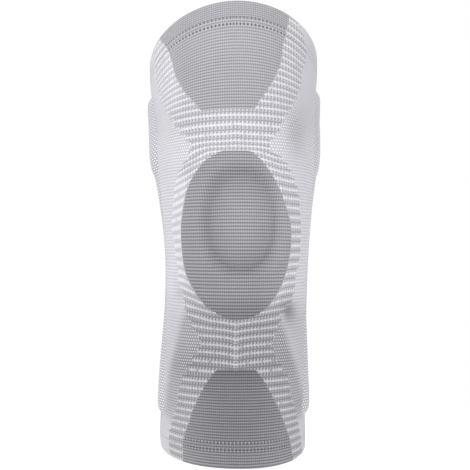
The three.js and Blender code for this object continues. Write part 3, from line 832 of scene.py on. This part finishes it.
@dataclass(frozen=True)
class KnitFinish:
    """Elastic knit: grey ribbed panels, white lines with ticks, open net and pale ribs.

    Each kind of knit is a method that gives its tone and its height.
    """

    name: str = "ribbed_knit"
    tint: tuple[float, float, float] = (1, 0.98, 1.055)
    panel_dark: float = 0.21
    panel_pale: float = 0.57
    # brightness in the rib valleys of a dark and of a pale panel: partly the knit's dark gaps, partly painted
    # shade
    valley: float = 0.5
    valley_pale: float = 0.82
    zigzag: float = 0.05
    # brightness between the stitches of a panel, and what a stitch adds in a valley and on a crest
    between_stitches: float = 0.76
    valley_stitch: float = 0.08
    crest_stitch: float = 0.38
    # how soft the borders of panels, lines and net are, in millimetres
    panel_border: Pair = (-0.2, 0.2)
    lines_border: Pair = (-0.25, 0.25)
    net_border: Pair = (-2.5, 4)
    pale_knit: float = 0.68
    # share of the pale knit's brightness that follows the chart's painted shade
    pale_share: float = 0.4
    line_white: float = 0.88
    # brightness of the white lines in the deepest painted shade, as a share
    line_white_dim: float = 0.35
    line_ground: float = 0.56
    # the comb that bends a line and lights it up: its middle and depth, its least light and what it adds
    comb_middle: float = 0.47
    comb_depth: float = 0.06
    comb_dim: float = 0.52
    comb_light: float = 0.45
    # half width of a white line without and with ticks, as a share of the way to the next
    line_width: Pair = (0.34, 0.175)
    # share of the way to the next line where each row of ticks starts and ends, shift of its ticks and
    # of its pale dots, strength of the dots
    tick_rows: Table = ((0.1, 0.16, 0.42, 0.34, 0.5, 0, 0.55), (0.6, 0.68, 0.95, 0.88, 0, 0.5, 0.35))
    dark_row: float = 0.04
    tick_dark: float = 0.37
    tick_slant: float = 0.7
    # where a dark row, a tick, a dot, a net loop, an eyelet, a row of eyelets and a seam loop fade in
    dark_row_edge: Pair = (0.11, 0.03)
    tick_edge: Pair = (0.4, 0.9)
    dot_edge: Pair = (0.45, 0.95)
    loop_edge: Pair = (0.12, 0.5)
    eyelet_edge: Pair = (0.3, 0.7)
    eyelet_row_edge: Pair = (0.5, 0.25)
    seam_edge: Pair = (0.3, 0.8)
    spine_share: float = 0.6
    net_dot: float = 0.95
    # brightness of the net's loops in the deepest painted shade, and how steeply its ground darkens with the
    # painted shade
    net_dot_dim: float = 0.2
    net_ground: float = 0.61
    net_depth: float = 1.25
    ticks_round: float = 144 / 248
    net_round: float = 176 / 248
    course_rate: float = 1
    # course number of each row of eyelets, its strength outside and inside the panels
    eyelets: Table = ()
    eyelet_dark: float = 0.5
    eyelet_pale: float = 0.2
    blotches: float = 60
    fuzz: float = 2400
    bump_mm: float = 0.35
    roughness: float = 0.92
    shine: float = 0.25

    def build(self) -> Material:
        """Makes the material.

        Returns:
            The material, which reads the stitch map and the chart's fields.
        """
        n = KnitNodes(self.name, self.course_rate)
        in_panel = n.step(n.field("panel"), *self.panel_border)
        lines = n.step(n.field("lines"), *self.lines_border) * (1 - in_panel)
        net = n.step(n.field("net"), *self.net_border) * (1 - n.math("MAXIMUM", in_panel, lines))
        tone, height = self.pale(n)
        for share, kind in ((net, self.net), (lines, self.white_lines), (in_panel, self.panel)):
            kind_tone, kind_height = kind(n)
            tone, height = n.mix(share, tone, kind_tone), n.mix(share, height, kind_height)
        loop = n.field("spine") * n.step(n.wave(n.course, 1.0, 0.5), *self.seam_edge)
        # the light field paints light and shade: the thigh leaning away, the hollows and the pockets' front
        # edges
        tone = n.mix(loop * self.spine_share, tone, self.line_white) * n.field("light")
        tone, height = self.eyelet_rows(n, in_panel, tone, height)
        fuzz = n.noise(self.fuzz)
        tone = tone * (n.noise(self.blotches, 3.0) * 0.1 + 0.95) * (fuzz * 0.16 + 0.92)
        bump = {"Strength": 1.0, "Distance": self.bump_mm * MM, "Height": fuzz * 0.15 + height}
        looks = {
            "Roughness": height * -0.08 + self.roughness,
            "Specular IOR Level": self.shine,
            "Sheen Weight": self.shine,
            "Sheen Roughness": 0.5,
        }
        return n.surface(tone, self.tint, bump, looks)

    def panel(self, n: KnitNodes) -> tuple[Signal, Signal]:
        """Ribs of the grey panels: pale crests of upright stitches between dark valleys, the valleys partly
        the knit's dark gaps and partly painted shade.

        Args:
            n: The material's nodes.

        Returns:
            Its tone and its height.
        """
        crest = n.wave(n.rib + n.wave(n.wale, 0.5) * self.zigzag, 1.0, 0.5)
        pale = n.field("pale")
        valley = n.mix(pale, self.valley, self.valley_pale)
        tone = n.mix(pale, self.panel_dark, self.panel_pale) * n.mix(n.step(crest, 0.05, 0.7), valley, 1.0)
        dots = n.stitch * (crest * self.crest_stitch + self.valley_stitch) + self.between_stitches
        return tone * dots, n.stitch * 0.4 + crest * 0.6

    def white_lines(self, n: KnitNodes) -> tuple[Signal, Signal]:
        """White lines, with two rows of dark ticks and pale dots between one and the next.

        Args:
            n: The material's nodes.

        Returns:
            Its tone and its height.
        """
        number = n.field("number")
        part = n.math("FRACT", number + 0.5)
        tick_wale = n.wale * self.ticks_round
        comb = n.wave(tick_wale, 1.0, 0.25)
        off = abs(part - (comb * self.comb_depth + self.comb_middle))
        line = n.step(off / n.mix(n.field("ticks"), *self.line_width), 1.0, 0.35)
        line = line * (comb * self.comb_light + self.comb_dim)
        spot_at = n.add("CombineXYZ", {0: n.wale * 0.45, 1: n.math("ROUND", number) * 7.3})
        worn = n.add("TexNoise", {"Vector": spot_at, "Scale": 1.0}, noise_dimensions="2D")
        line = line * n.step(worn, 0.15, 0.5)
        slant = part * self.tick_slant + tick_wale
        dark = n.step(abs(part - self.dark_row), *self.dark_row_edge)
        for *ends, tick_shift, dot_shift, dot_share in self.tick_rows:
            in_row = n.step(part, *ends[:2]) * n.step(part, *ends[2:])
            tick = n.step(n.wave(slant, 1.0, tick_shift), *self.tick_edge) * in_row
            dot = n.step(n.wave(slant, 1.0, dot_shift), *self.dot_edge) * in_row
            dark = n.math("MAXIMUM", dark, tick * 0.85)
            line = n.math("MAXIMUM", line, dot * dot_share)
        dark = dark * n.field("ticks")
        ground = n.mix(dark, self.line_ground, self.tick_dark) * n.shade
        white = n.mix(n.shade, self.line_white_dim, 1.0) * self.line_white
        tone = n.mix(line, ground, white) * (n.stitch * 0.14 + 0.93)
        return tone, n.math("MAXIMUM", line, (1 - dark) * 0.55)

    def net(self, n: KnitNodes) -> tuple[Signal, Signal]:
        """Open net: staggered pale loops on a darker ground.

        Args:
            n: The material's nodes.

        Returns:
            Its tone and its height.
        """
        odd = n.math("MODULO", n.math("FLOOR", n.rib), 2.0) * 0.5
        loop = n.step(n.wave(n.wale * self.net_round + odd) * n.wave(n.rib, 1.0, 0.5), *self.loop_edge)
        ground = n.math("POWER", n.shade, self.net_depth) * self.net_ground
        return n.mix(loop, ground, n.mix(n.shade, self.net_dot_dim, 1.0) * self.net_dot), loop

    def pale(self, n: KnitNodes) -> tuple[Signal, Signal]:
        """Pale knit of the sides and back, with low ribs whose crests are lighter, partly the knit and partly
        painted light, dimmed by the chart's painted shade.

        Args:
            n: The material's nodes.

        Returns:
            Its tone and its height.
        """
        crest = n.wave(n.rib, 1.0, 0.5)
        dim = n.shade * self.pale_share + (1 - self.pale_share)
        tone = (crest * 0.24 + (n.stitch * 0.1 + 0.78)) * self.pale_knit * dim
        return tone, n.stitch * 0.25 + crest * 0.35

    def eyelet_rows(
        self, n: KnitNodes, in_panel: Signal, tone: Signal, height: Signal
    ) -> tuple[Signal, Signal]:
        """Adds rows of small dark eyelets with pale stitches between them.

        Args:
            n: The material's nodes.
            in_panel: 1 in the grey panels.
            tone: Brightness of the knit.
            height: Height of its stitches.

        Returns:
            Brightness and height with the rows.
        """
        dot = n.step(n.wave(n.wale * self.ticks_round), *self.eyelet_edge)
        for number, outside, within in self.eyelets:
            row = n.step(abs(n.course - number), *self.eyelet_row_edge)
            row = row * n.mix(in_panel, outside, within)
            hole = row * dot
            tone = n.mix((row - hole) * self.eyelet_pale, tone, self.line_white)
            tone = tone * (hole * -self.eyelet_dark + 1.0)
            height = height - hole
        return tone, height


@dataclass(frozen=True)
class PadFinish:
    """Soft moulded rubber of the kneecap pad, with a fine pebble."""

    name: str = "ring_pad"
    colour: tuple[float, float, float] = (0.2, 0.2, 0.22)
    pebbles: float = 900
    clouds: float = 45
    pebble_mm: float = 0.2

    def build(self) -> Material:
        """Makes the material.

        Returns:
            The material.
        """
        n = Nodes(self.name)
        where = n.add("TexCoord", {}, "Object")
        pebble = n.add("TexVoronoi", {"Vector": where, "Scale": self.pebbles})
        cloud = n.noise(self.clouds)
        bump = {"Strength": 0.5, "Distance": self.pebble_mm * MM, "Height": pebble}
        looks = {"Roughness": cloud * 0.2 + 0.5, "Subsurface Weight": 0.05}
        return n.surface(cloud * 0.3 + 0.85, self.colour, bump, looks)


@dataclass(frozen=True)
class Tube:
    """What every knitted piece of the sleeve shares: form, courses, relief, chart and columns."""

    form: LegForm
    courses: Courses
    relief: KneeRelief
    chart: KnitChart
    columns: int = 160
    crowding: float = 0.25
    wales: int = 248
    rows_per_course: int = 4
    course_rate: float = 1
    panel_rib: float = 0.3
    pale_rib: float = 0.16
    net_rib: float = 0.2
    line_ridge: float = 0.28
    line_edge: Pair = (0.08, 0.3)
    border: float = 0.4
    net_border: float = 1
    joint_samples: int = 3000
    round_samples: int = 2001
    # lengths of the bands down the front, half the gap where they meet the sleeve, depth of the groove there
    band_lengths: Pair = (13.8, 13)
    gap_courses: float = 0.04
    groove: float = 0.12

    def turns(self) -> Array:
        """Angle of each column from the front, the first at the back."""
        even = FULL_TURN * (np.arange(self.columns) / self.columns) - math.pi
        return even - self.crowding * np.sin(even)

    def grid(self, course: Array) -> tuple[Array, Array]:
        """Course and turn of every point in the rows at some courses."""
        return np.meshgrid(course, self.turns(), indexing="ij")

    def face(self, course: Array, sink: Array | float, ribbed: bool = False) -> tuple[Array, Fields]:
        """Rows of points at some courses.

        Args:
            course: Course number of each row.
            sink: How far each row lies below the outer face.
            ribbed: Whether the knit's ribs stand on it.

        Returns:
            The points in millimetres and the chart's fields there, a row for each course number.
        """
        c, turn = self.grid(course)
        place = self.courses.place(c)
        smooth = self.form.point(place, turn)
        relief = self.relief.height(smooth, turn)
        fields = self.chart.fields(smooth, turn, c, relief)
        height = relief - np.broadcast_to(sink, len(course))[:, None]
        if ribbed:
            height = height + self.rib_height(c, fields)
        return smooth + self.form.normal(place, turn) * height[..., None], fields

    def rib_height(self, course: Array, fields: Fields) -> Array:
        """Height of ribs and white lines above the smooth face.

        Args:
            course: Course numbers.
            fields: The chart's fields there.

        Returns:
            The height in millimetres.
        """
        crest = 0.5 - 0.5 * np.cos(FULL_TURN * course * self.course_rate)
        in_panel = ease(-self.border, self.border, fields["panel"])
        on_lines = ease(-self.border, self.border, fields["lines"]) * (1 - in_panel)
        on_net = ease(-self.net_border, self.net_border, fields["net"]) * (1 - in_panel) * (1 - on_lines)
        plain = 1 - in_panel - on_lines - on_net
        line = 1 - ease(*self.line_edge, np.abs(fields["number"] - np.round(fields["number"])))
        ribs = in_panel * self.panel_rib + plain * self.pale_rib + on_net * self.net_rib
        return crest * ribs + on_lines * line * self.line_ridge

    def joint(self, rim: Rim) -> float:
        """Course number of the joint between the sleeve and a band.

        Args:
            rim: The band's rim.

        Returns:
            The course number in the middle of the joint.
        """
        number = np.linspace(0.0, self.courses.total(), self.joint_samples)
        run = path_length(self.form.point(self.courses.place(number), np.zeros_like(number)))
        length = self.band_lengths[0] if rim is Rim.THIGH else run[-1] - self.band_lengths[1]
        return float(np.interp(length, run, number))

    def shell(
        self, name: str, front: Array, grooved: list[int], back: Array, depth: Array | float, like_edge: bool
    ) -> Object:
        """Makes a closed ring of knit.

        Args:
            name: The piece's name.
            front: Course number of each row of the outer face, down or up the leg.
            grooved: Which of these rows lie in the groove at a joint.
            back: Course number of each further row, round the edge and along the inner face.
            depth: How far each of these lies below the outer face.
            like_edge: Whether these rows look like the last one of the outer face.

        Returns:
            The piece.
        """
        sink = np.zeros(len(front))
        sink[grooved] = self.groove
        outer, outer_fields = self.face(front, sink, ribbed=True)
        inner, inner_fields = self.face(back, depth)
        if like_edge:
            inner_fields = {key: np.repeat(values[-1:], len(back), 0) for key, values in outer_fields.items()}
        order = slice(None, None, -1 if front[0] > front[-1] else 1)
        loops = np.concatenate([outer, inner])[order]
        fields = {key: np.concatenate([outer_fields[key], inner_fields[key]])[order] for key in outer_fields}
        dense = np.linspace(-math.pi, math.pi, self.round_samples)
        run = path_length(self.form.point(np.full_like(dense, 0.5), dense))
        share = run / run[-1] - np.interp(0.0, dense, run / run[-1])
        course, turn = self.grid(np.concatenate([front, back])[order])
        stitches = np.stack([np.interp(turn, dense, share) * self.wales, course], -1)
        return GridMesh(name, loops, fields, stitches, self.wales).build()


def dress(piece: Object, material: Material, node: str) -> None:
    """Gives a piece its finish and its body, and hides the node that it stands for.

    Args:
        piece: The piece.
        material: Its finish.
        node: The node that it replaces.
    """
    piece.data.materials.append(material)
    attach(piece, "root")
    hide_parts(node)


@dataclass(frozen=True)
class KnitSleeve:
    """The long knitted tube between the bands."""

    tube: Tube
    finish: KnitFinish
    wall: float = 2.2
    inner_rows: int = 56
    # girth at the middle and length down the side, in metres
    flat_size: Pair = (0.33, 0.29)

    def build(self) -> Object:
        """Makes the sleeve.

        Returns:
            The sleeve, dressed.
        """
        top = self.tube.joint(Rim.THIGH) + self.tube.gap_courses
        low = self.tube.joint(Rim.CALF) - self.tube.gap_courses
        per = self.tube.rows_per_course
        rows = np.arange(math.ceil(top * per + 0.5), math.floor(low * per - 0.5) + 1) / per
        front = np.concatenate([[top], rows, [low]])
        back = np.linspace(low, top, self.inner_rows)
        piece = self.tube.shell("knit_sleeve_skin", front, [0, -1], back, self.wall, like_edge=False)
        dress(piece, self.finish.build(), "knit_sleeve")
        return piece


@dataclass(frozen=True)
class Band:
    """The knitted band at one rim, with a rolled edge."""

    tube: Tube
    finish: KnitFinish
    rim: Rim
    wall: float = 2.6
    # how far before the rim the roll starts, in courses for each millimetre of its radius
    roll_courses: float = 1 / 2.1
    edge_loops: int = 6
    rows_per_course: int = 6
    inner_rows: int = 8
    # girth of the rim and height of the band, in metres
    flat_size: Pair = (0.36, 0.014)

    def build(self) -> Object:
        """Makes the band.

        Returns:
            The band, dressed.
        """
        upper = self.rim is Rim.THIGH
        towards = 1.0 if upper else -1.0
        at_rim = 0.0 if upper else self.tube.courses.total()
        at_joint = self.tube.joint(self.rim) - towards * self.tube.gap_courses
        radius = self.wall / 2
        inset = towards * radius * self.roll_courses
        front = np.linspace(at_joint, at_rim + inset, int(abs(at_joint - at_rim) * self.rows_per_course))
        angle = np.linspace(0.0, math.pi, self.edge_loops + 2)[1:-1]
        rolled = at_rim + inset * (1 - np.sin(angle))
        back = np.concatenate([rolled, np.linspace(at_rim + inset, at_joint, self.inner_rows)])
        depth = np.concatenate([radius * (1 - np.cos(angle)), np.full(self.inner_rows, self.wall)])
        node = f"{self.rim.value}_band"
        piece = self.tube.shell(f"{node}_knit", front, [0], back, depth, like_edge=True)
        dress(piece, self.finish.build(), node)
        return piece


@dataclass(frozen=True)
class KneecapPad:
    """The oval ring pad on the inner face, round the kneecap."""

    tube: Tube
    finish: PadFinish
    wall: float = 2.2
    gap: float = 0.6
    thickness: float = 5
    around: int = 120
    search_steps: int = 40
    widest: float = 0.98
    # reach from the hole to the outer edge, depth into the hollow as a share of the thickness
    section: Table = (
        (0, 0.16), (0.03, 0.04), (0.1, 0), (0.3, 0), (0.5, 0), (0.7, 0), (0.9, 0),
        (0.97, 0.03), (1, 0.14), (1, 0.3), (0.96, 0.5), (0.88, 0.7), (0.78, 0.86), (0.7, 0.95),
        (0.66, 0.91), (0.62, 0.97), (0.54, 1), (0.44, 1), (0.34, 0.97), (0.3, 0.91), (0.26, 0.95),
        (0.18, 0.88), (0.1, 0.74), (0.04, 0.58), (0, 0.4),
    )

    def build(self) -> Object:
        """Makes the pad.

        Returns:
            The pad, dressed.
        """
        relief = self.tube.relief
        angle = FULL_TURN * np.arange(self.around) / self.around
        power = 2 / relief.pad_roundness
        oval = np.stack([bent(np.cos(angle), power), bent(np.sin(angle), power)], -1)
        hole = relief.hole_middle + np.array(relief.hole_half) * oval
        rim = relief.pad_middle + np.array(relief.pad_half) * oval
        loops = []
        for reach, depth in self.section:
            x, z = (hole + reach * (rim - hole)).T
            place, turn = self.front_place(x, z)
            smooth = self.tube.form.point(place, turn)
            height = relief.height(smooth, turn) - (self.wall + self.gap + depth * self.thickness)
            loops.append(smooth + self.tube.form.normal(place, turn) * height[:, None])
        piece = GridMesh("kneecap_ring_pad", np.array(loops)).build()
        dress(piece, self.finish.build(), "kneecap_pad")
        return piece

    def front_place(self, x: Array, z: Array) -> tuple[Array, Array]:
        """Place and turn of the front's points at x and z.

        Args:
            x: Places across.
            z: Heights.

        Returns:
            Place and turn of each.
        """
        form = self.tube.form
        low, high = np.zeros_like(x), np.ones_like(x)
        for _ in range(self.search_steps):
            place = (low + high) / 2
            rows = form.rows(place)
            share = (x / form.knee_half_width - rows[..., 5]) / rows[..., 2]
            share = np.clip(share, -self.widest, self.widest)
            turn = np.sign(share) * np.arcsin(np.abs(share) ** (rows[..., 9] / 2))
            above = form.point(place, turn)[..., 2] > z
            low, high = np.where(above, place, low), np.where(above, high, place)
        return (low + high) / 2, turn


@dataclass(frozen=True)
class StayPocket:
    """A long knitted pocket on one side, raised by the stay in it."""

    tube: Tube
    finish: KnitFinish
    side: Side
    width: float = 23
    rise: float = 6
    seat: float = -0.4
    sink: float = 0.1
    base_half: float = 0.97
    crown_roundness: float = 2.6
    crown_power: float = 1.6
    loops_long: int = 200
    loops_round: int = 40
    wale_width: float = 1.4
    # strength of the painted shade where the knit turns in at the front edge, on the left and on the right,
    # its place across, its width, and where on the tube it starts and ends
    edge_shade: Pair = (0.05, 0.08)
    edge_across: float = -0.72
    edge_width: float = 0.24
    edge_start: Pair = (0.12, 0.2)
    edge_end: Pair = (0.4, 0.5)
    # place on the tube, brightness of the left and the right pocket
    shade: Table = ((0, 0.96, 1.12), (0.5, 0.94, 1.08), (0.68, 0.88, 0.92), (1, 0.88, 0.9))
    # place on the tube (left, right), turn in degrees (left, right), width share, rise share (left, right)
    rows: Table = (
        (0.115, 0.115, 95, 95, 0.62, 0.1, 0.1), (0.143, 0.141, 95, 95, 0.84, 0.62, 0.62),
        (0.246, 0.246, 97, 97, 0.9, 0.9, 0.74), (0.335, 0.335, 99.5, 99.5, 0.94, 1.1, 0.9),
        (0.385, 0.385, 101.5, 101.5, 0.92, 1, 0.82), (0.42, 0.42, 103.5, 103.5, 0.88, 0.66, 0.56),
        (0.54, 0.54, 107, 107, 0.84, 0.46, 0.46), (0.66, 0.66, 103, 103, 0.86, 0.44, 0.42),
        (0.72, 0.72, 98, 98, 0.9, 0.52, 0.44), (0.78, 0.78, 90, 90, 0.96, 0.56, 0.46),
        (0.836, 0.836, 83, 84, 1, 0.5, 0.56), (0.862, 0.862, 80, 81, 0.94, 0.44, 0.52),
        (0.877, 0.877, 78, 79, 0.7, 0.1, 0.1),
    )
    # what the chart's fields say on a pocket: net all over
    chart_values: tuple[tuple[str, float], ...] = (
        ("panel", -50), ("lines", -50), ("net", 50), ("number", 0), ("pale", 1), ("ticks", 0), ("spine", 0),
    )

    def build(self) -> Object:
        """Makes the pocket.

        Returns:
            The pocket, dressed.
        """
        form = self.tube.form
        left = self.side is Side.LEFT
        table = np.array(self.rows)[:, [0, 2, 4, 5] if left else [1, 3, 4, 6]]
        place, turn, width, rise = smooth_rows(table, np.linspace(0.0, 1.0, self.loops_long)).T
        across, crown = self.crown()
        rows = form.rows(place)
        depth = (rows[:, 3] * form.knee_front + rows[:, 4] * form.knee_back) / 2
        radius = (rows[:, 2] * form.knee_half_width + depth) / 2
        half = width * self.width / 2 / radius
        angle = self.side.value * (np.radians(turn)[:, None] + across * half[:, None])
        place = np.broadcast_to(place[:, None], angle.shape)
        smooth = form.point(place, angle)
        height = self.seat + crown * (rise[:, None] * self.rise - self.seat)
        height = height + self.tube.relief.height(smooth, angle)
        loops = smooth + form.normal(place, angle) * height[..., None]
        numbers, _, courses = self.tube.courses.tables()
        wales = np.broadcast_to(across * self.width / 2 / self.wale_width, place.shape)
        stitches = np.stack([wales, np.interp(place, numbers, courses)], -1)
        if left:
            loops, stitches = loops[:, ::-1], stitches[:, ::-1]
        fields = {key: np.full(place.shape, float(value)) for key, value in self.chart_values}
        fields["shade"] = along(self.shade, place, 1 if left else 2)
        fields["light"] = self.edge_light(place, across)
        word = self.side.name.lower()
        piece = GridMesh(f"stay_pocket_{word}", loops, fields, stitches, capped=True).build()
        dress(piece, self.finish.build(), f"side_pocket_{word}")
        return piece

    def crown(self) -> tuple[Array, Array]:
        """Section of the pocket, over its crown and back under it.

        Returns:
            Places across from -1 to 1, and heights as shares of the rise.
        """
        top = self.loops_round * 3 // 4
        over = -np.cos(math.pi * np.arange(top) / (top - 1))
        under = np.linspace(self.base_half, -self.base_half, self.loops_round - top)
        crown = (1 - np.abs(over) ** self.crown_roundness) ** self.crown_power
        return np.concatenate([over, under]), np.concatenate([crown, np.full(len(under), -self.sink)])

    def edge_light(self, place: Array, across: Array) -> Array:
        """Brightness of the pocket, with painted shade where the knit turns in at its front edge above the
        knee.

        Args:
            place: Places on the tube.
            across: Places across the pocket.

        Returns:
            The brightness at each point.
        """
        shade_strength = self.edge_shade[0 if self.side is Side.LEFT else 1]
        strip = np.exp(-(((across - self.edge_across) / self.edge_width) ** 2))
        return 1 - shade_strength * strip * (1 - ease(*self.edge_end, place)) * ease(*self.edge_start, place)


@dataclass(frozen=True)
class Studio:
    """Pale floor, soft light and the camera at the photograph's angle. Places and sizes in metres."""

    view: FrontView
    floor_height: float = -0.185
    floor_size: float = 1.6
    floor_glow: float = 0.35
    floor_colour: tuple[float, ...] = (0.9, 0.9, 0.9, 1)
    floor_roughness: float = 0.8
    surround: float = 0.62
    near: float = 0.05
    # name, place, side and power in watts of each square lamp
    lamps: tuple = (("key", (-0.42, -0.85, 1.35), 0.7, 15), ("fill", (1.3, -0.9, 0.5), 1.2, 3.5))

    def build(self) -> None:
        """Makes camera, floor, lights and world."""
        self.camera()
        self.floor()
        for name, place, size, power in self.lamps:
            self.lamp(name, place, size, power)
        self.world()
        bpy.context.scene.view_settings.view_transform = "Standard"
        bpy.context.scene.view_settings.look = "None"

    def world(self) -> None:
        """Makes the surround: white to the eye, softer as a light."""
        world = bpy.data.worlds.new("pale_surround")
        world.use_nodes = True
        tree = world.node_tree
        back = tree.nodes["Background"]
        back.inputs["Color"].default_value = (1, 1, 1, 1)
        path = tree.nodes.new("ShaderNodeLightPath")
        power = tree.nodes.new("ShaderNodeMapRange")
        power.inputs["To Min"].default_value = self.surround
        tree.links.new(path.outputs["Is Camera Ray"], power.inputs["Value"])
        tree.links.new(power.outputs[0], back.inputs["Strength"])
        bpy.context.scene.world = world

    def camera(self) -> None:
        """Makes the level camera in front of the knee."""
        data = bpy.data.cameras.new("camera")
        eye = stand("camera", data)
        eye.location = (0, -self.view.distance * MM, 0)
        eye.rotation_euler = (math.pi / 2, 0, 0)
        wide = self.view.mm_per_pixel * self.view.frame_pixels
        data.lens = data.sensor_width * self.view.distance / wide
        data.clip_start = self.near
        bpy.context.scene.camera = eye

    def floor(self) -> None:
        """Makes the floor."""
        half, z = self.floor_size / 2, self.floor_height
        mesh = bpy.data.meshes.new("floor")
        corners = [(-half, -half, z), (half, -half, z), (half, half, z), (-half, half, z)]
        mesh.from_pydata(corners, [], [(0, 1, 2, 3)])
        n = Nodes("floor_white")
        looks = {
            "Base Color": self.floor_colour,
            "Roughness": self.floor_roughness,
            "Emission Color": (1, 1, 1, 1),
            "Emission Strength": self.floor_glow,
        }
        mesh.materials.append(n.finish(n.add("BsdfPrincipled", looks)))
        stand("floor", mesh)

    def lamp(self, name: str, place: tuple[float, float, float], size: float, power: float) -> None:
        """Makes one square lamp that looks at the knee.

        Args:
            name: Its name.
            place: Where it stands.
            size: Its side.
            power: Its power in watts.
        """
        data = bpy.data.lights.new(name, "AREA")
        data.shape = "SQUARE"
        data.size = size
        data.energy = power
        lamp = stand(name, data)
        lamp.location = place
        lamp.rotation_euler = (-lamp.location).to_track_quat("-Z", "Y").to_euler()


def main() -> None:
    """Builds the studio and every piece of the sleeve."""
    logging.basicConfig(level=logging.INFO, format="%(message)s")
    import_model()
    view = FrontView()
    Studio(view).build()
    form = LegForm()
    courses = Courses(form, view)
    tube = Tube(form, courses, KneeRelief(), KnitChart(courses))
    thigh_joint, calf_joint = (tube.joint(rim) for rim in Rim)
    sleeve_knit = KnitFinish(
        eyelets=(
            (thigh_joint + 0.2, 0.5, 0.8), (thigh_joint + 2.4, 0.6, 1),
            (calf_joint - 2.5, 0, 0.8), (calf_joint - 0.3, 0, 0.6),
        )
    )
    fine_knit = KnitFinish(
        name="fine_band_knit", course_rate=1.45, valley=0.78, valley_pale=0.82, panel_pale=0.53
    )
    calf_knit = KnitFinish(name="band_knit", eyelets=((calf_joint + 0.4, 0, 0.5),))
    pocket_knit = KnitFinish(name="pocket_knit", net_dot=0.95, net_ground=0.5)
    fine_tube = replace(tube, course_rate=fine_knit.course_rate, panel_rib=0.14)
    makers = (
        KnitSleeve(tube, sleeve_knit),
        Band(fine_tube, fine_knit, Rim.THIGH),
        Band(tube, calf_knit, Rim.CALF, flat_size=(0.315, 0.013)),
        KneecapPad(tube, PadFinish()),
        StayPocket(tube, pocket_knit, Side.LEFT),
        StayPocket(tube, pocket_knit, Side.RIGHT),
    )
    for maker in makers:
        piece = maker.build()
        LOG.info("%s: %d faces", piece.name, len(piece.data.polygons))


if __name__ == "__main__":
    main()
